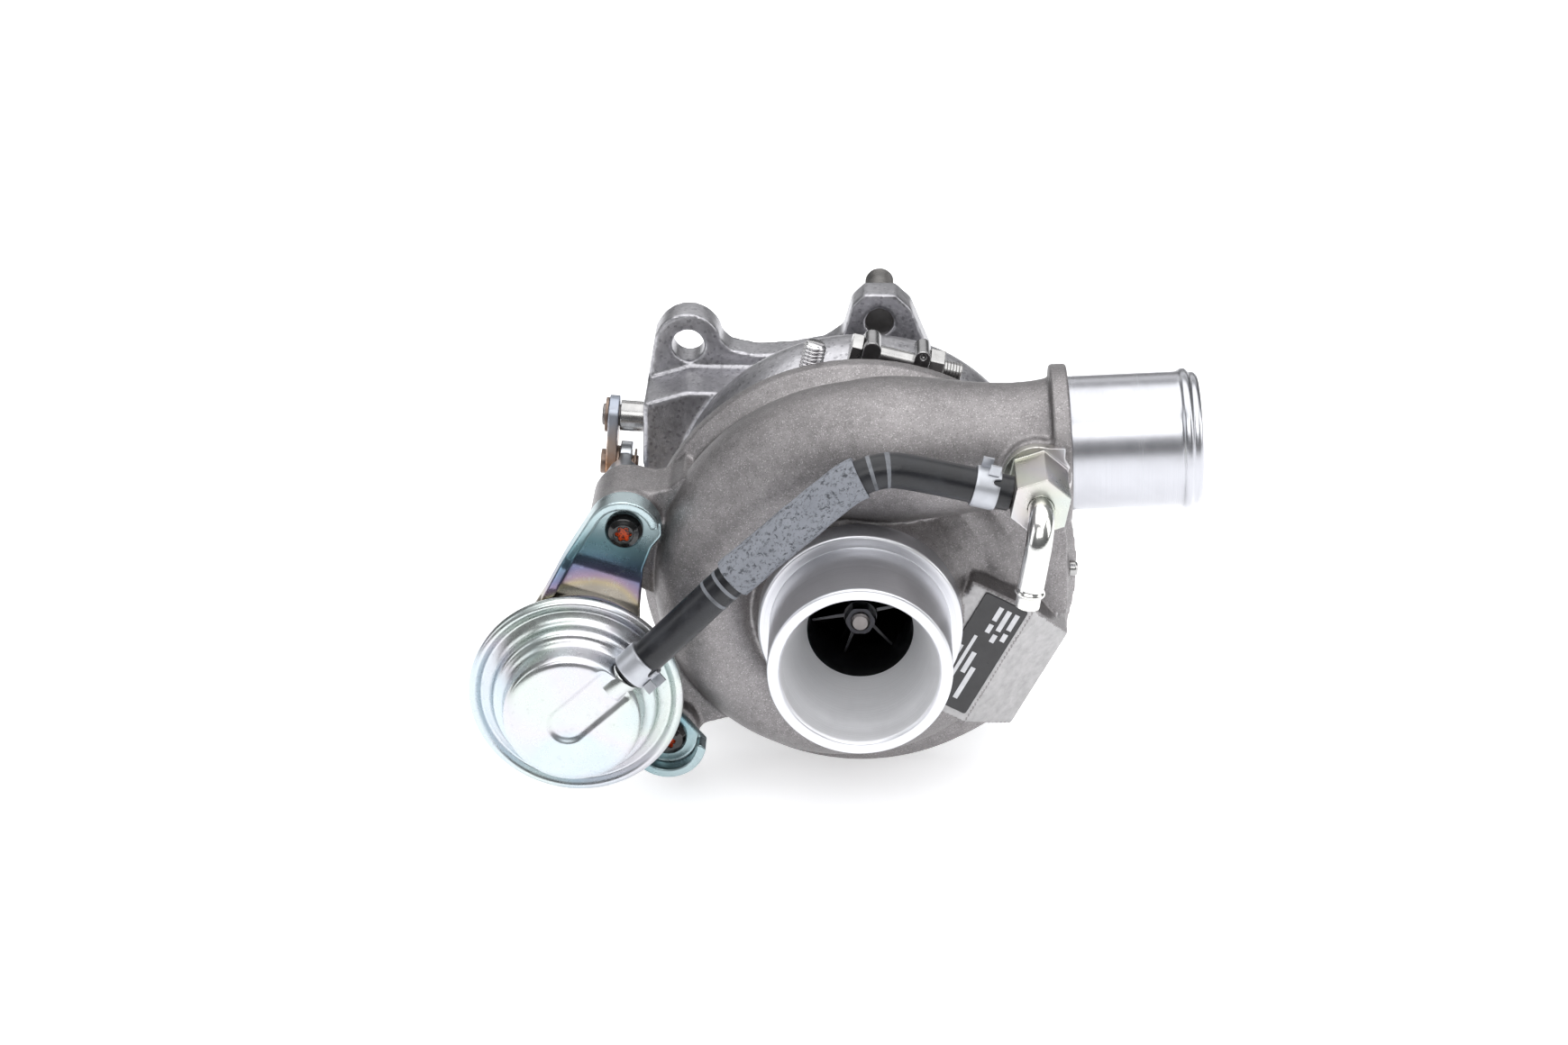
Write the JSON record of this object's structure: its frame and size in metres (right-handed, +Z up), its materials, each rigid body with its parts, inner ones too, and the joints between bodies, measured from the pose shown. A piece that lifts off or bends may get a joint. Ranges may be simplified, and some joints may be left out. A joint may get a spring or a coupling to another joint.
{
  "type": "turbocharger",
  "caption": "Radial turbocharger with volute compressor housing, turbine housing, shaft assembly, and a wastegate worked by a pressure actuator through a rod and hose.",
  "frame": {"origin": "centre of the turbine inlet flange gasket face", "axes": "+Y along the rotor shaft from the compressor inlet to the turbine outlet, +Z up away from the turbine inlet flange, +X toward the compressor outlet pipe"},
  "size_m": [0.1843, 0.1567, 0.122],
  "materials": {
    "cast_taupe": "sand cast, matt, faint sparkle",
    "machined": "turned, fine feed lines",
    "cast_blue": "smooth casting",
    "zinc": "bright zinc passivated, pale iridescence",
    "steel": "plain steel",
    "black_plate": "gloss black plate",
    "black_screw": "gloss black",
    "hose": "satin, dusty",
    "sleeve": "matt, dusty pale grey",
    "lever": "heat tinted",
    "hot_steel": "heat resistant alloy",
    "bronze": "plain bearing bronze",
    "o_ring": "matt"
  },
  "bodies": {
    "housings": {"turbine_housing": "cast_blue", "turbine_outlet_plate": "cast_blue", "turbine_inlet_foot": "cast_blue", "compressor_housing": "cast_taupe", "compressor_inlet_spigot": "machined", "outlet_pipe": "machined", "identification_plate": "black_plate", "plug_screw": "zinc", "compressor_backplate": "cast_taupe", "backplate_o_ring": "o_ring", "compressor_retaining_ring": "steel", "bearing_housing": "cast_blue", "bearing_circlips": "steel", "thrust_bearing": "bronze", "compressor_seal_ring": "steel", "turbine_seal_ring": "steel", "heat_shield": "hot_steel", "oil_feed_stud": "zinc", "v_band_clamp": "steel", "v_band_bolt": "steel", "v_band_nut": "steel", "outlet_studs": "hot_steel", "wastegate_bushing": "hot_steel", "actuator_cover": "zinc", "actuator_base": "zinc", "actuator_diaphragm": "o_ring", "actuator_spring": "steel", "rod_guide": "bronze", "actuator_bracket": "zinc", "bracket_screws": "black_screw", "pressure_union": "zinc", "signal_pipe": "zinc", "boost_hose": "hose", "hose_sleeve": "sleeve", "hose_clip_actuator": "machined", "hose_clip_union": "machined"},
    "rotor": {"turbine_wheel_shaft": "hot_steel", "compressor_wheel": "machined", "shaft_nut": "steel", "thrust_collar": "steel"},
    "journal_ring_compressor": {"journal_bearing_compressor": "bronze"},
    "journal_ring_turbine": {"journal_bearing_turbine": "bronze"},
    "wastegate": {"wastegate_arm": "hot_steel", "wastegate_flap": "hot_steel", "flap_washer": "hot_steel", "wastegate_lever": "lever", "spindle_clip": "lever", "lever_pin": "lever", "pin_washer": "lever", "pin_clip": "lever"},
    "actuator_plunger": {"actuator_rod": "steel", "rod_end": "steel", "rod_lock_nut": "steel", "actuator_piston": "steel"}
  },
  "joints": [
    {"name": "rotor_spin", "type": "hinge", "parent": "housings", "child": "rotor", "pos_m": [0.032, -0.032, 0.058], "axis": [0, 1, 0], "continuous": true},
    {"name": "journal_spin_compressor", "type": "hinge", "parent": "housings", "child": "journal_ring_compressor", "pos_m": [0.032, -0.0334, 0.058], "axis": [0, 1, 0], "continuous": true},
    {"name": "journal_spin_turbine", "type": "hinge", "parent": "housings", "child": "journal_ring_turbine", "pos_m": [0.032, -0.021, 0.058], "axis": [0, 1, 0], "continuous": true},
    {"name": "wastegate_swing", "type": "hinge", "parent": "housings", "child": "wastegate", "pos_m": [-0.0281, 0.008, 0.0786], "axis": [0.9979, 0, -0.0645], "range_deg": [0, 24]},
    {"name": "actuator_slide", "type": "slide", "parent": "housings", "child": "actuator_plunger", "axis": [0, 1, 0], "range_m": [0, 0.0056], "deforming": ["actuator_spring", "actuator_diaphragm"]}
  ],
  "couplings": [
    {"joint": "actuator_slide", "follows": "wastegate_swing", "m_per_rad": 0.013104}
  ]
}
